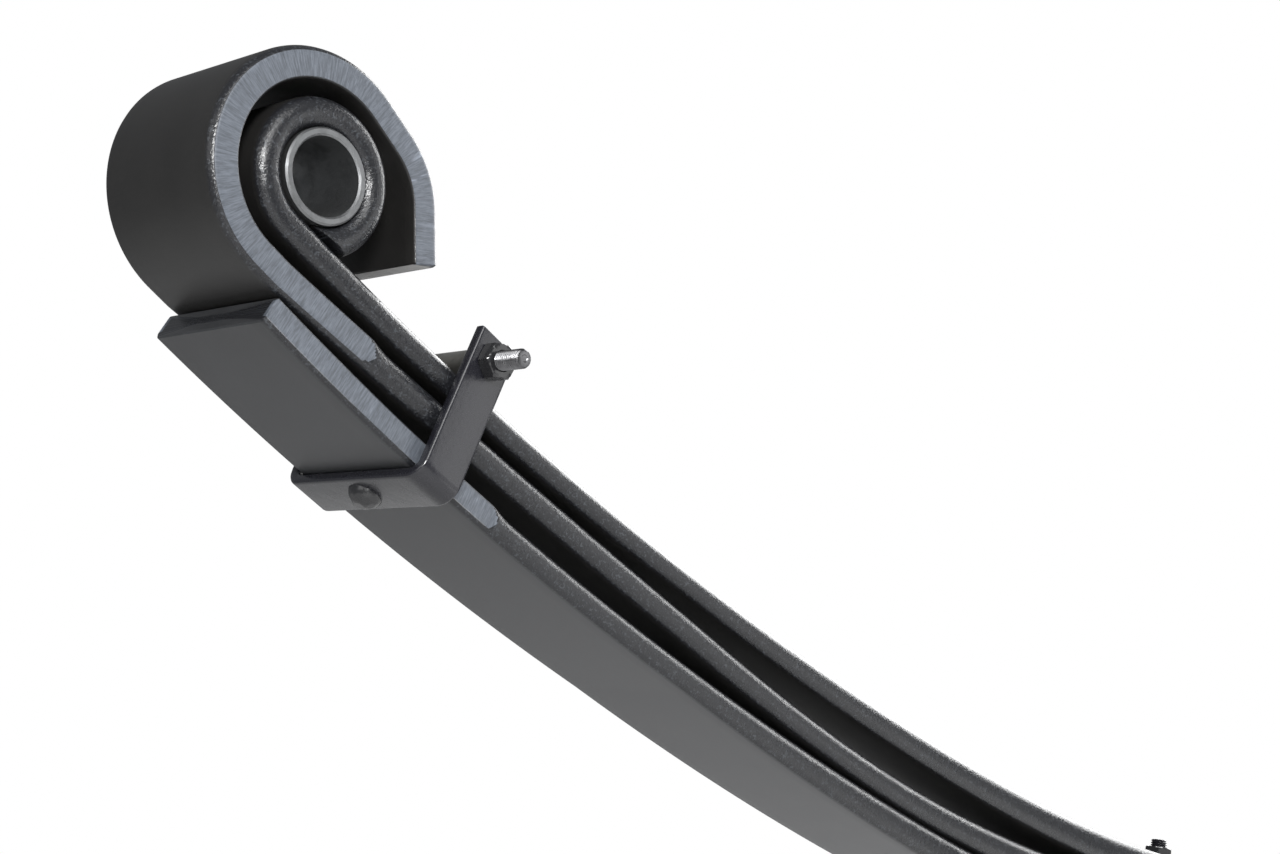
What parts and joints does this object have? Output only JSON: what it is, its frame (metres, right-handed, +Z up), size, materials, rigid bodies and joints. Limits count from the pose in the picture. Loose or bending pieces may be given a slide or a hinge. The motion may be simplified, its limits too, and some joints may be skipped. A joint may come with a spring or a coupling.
{
  "type": "leaf spring",
  "caption": "Parabolic leaf spring with rolled eyes, a wrapped second leaf around each eye, riveted rebound clips and a centre bolt.",
  "frame": {"origin": "on the centre bolt's axis, at the underside of the third leaf, where the axle seats", "axes": "+X along the spring, +Y across the leaves away from the clip nuts, +Z up from the axle seat toward the eyes"},
  "size_m": [1.927, 0.1363, 0.3509],
  "materials": {
    "leaf_paint": "black paint over hot-rolled, rounded edges, semi-gloss with a coarse grain",
    "wrap_leaf_paint": "black paint, brushed and ground flat at the sides around the eyes",
    "third_leaf_paint": "dark grey satin paint, ground flat at the sides of its tips",
    "spacer_paint": "black paint, satin",
    "clip_paint": "black gloss paint on a bent strap",
    "rivet_paint": "black gloss paint over a hammered dome",
    "nut_paint": "black gloss paint",
    "centre_bolt_paint": "dark satin paint",
    "bush_steel": "bare machined steel",
    "bolt_steel": "bare bright steel thread",
    "tube_steel": "bare satin steel"
  },
  "bodies": {
    "spring_pack": {"main_leaf": "leaf_paint", "second_leaf": "wrap_leaf_paint", "third_leaf": "third_leaf_paint", "upper_spacer": "spacer_paint", "lower_spacer": "spacer_paint", "left_eye_bush": "bush_steel", "right_eye_bush": "bush_steel", "left_clip": "clip_paint", "right_clip": "clip_paint", "left_clip_rivet": "rivet_paint", "right_clip_rivet": "rivet_paint", "left_clip_bolt": "bolt_steel", "right_clip_bolt": "bolt_steel", "left_clip_nut": "nut_paint", "right_clip_nut": "nut_paint", "centre_bolt": "centre_bolt_paint", "centre_nut": "nut_paint"},
    "left_tube": {"left_distance_tube": "tube_steel"},
    "right_tube": {"right_distance_tube": "tube_steel"}
  },
  "joints": [
    {"name": "left_tube_turn", "type": "hinge", "parent": "spring_pack", "child": "left_tube", "pos_m": [-0.78945, 0, 0.22304], "axis": [0, 1, 0], "continuous": true},
    {"name": "right_tube_turn", "type": "hinge", "parent": "spring_pack", "child": "right_tube", "pos_m": [0.78945, 0, 0.22304], "axis": [0, 1, 0], "continuous": true}
  ]
}
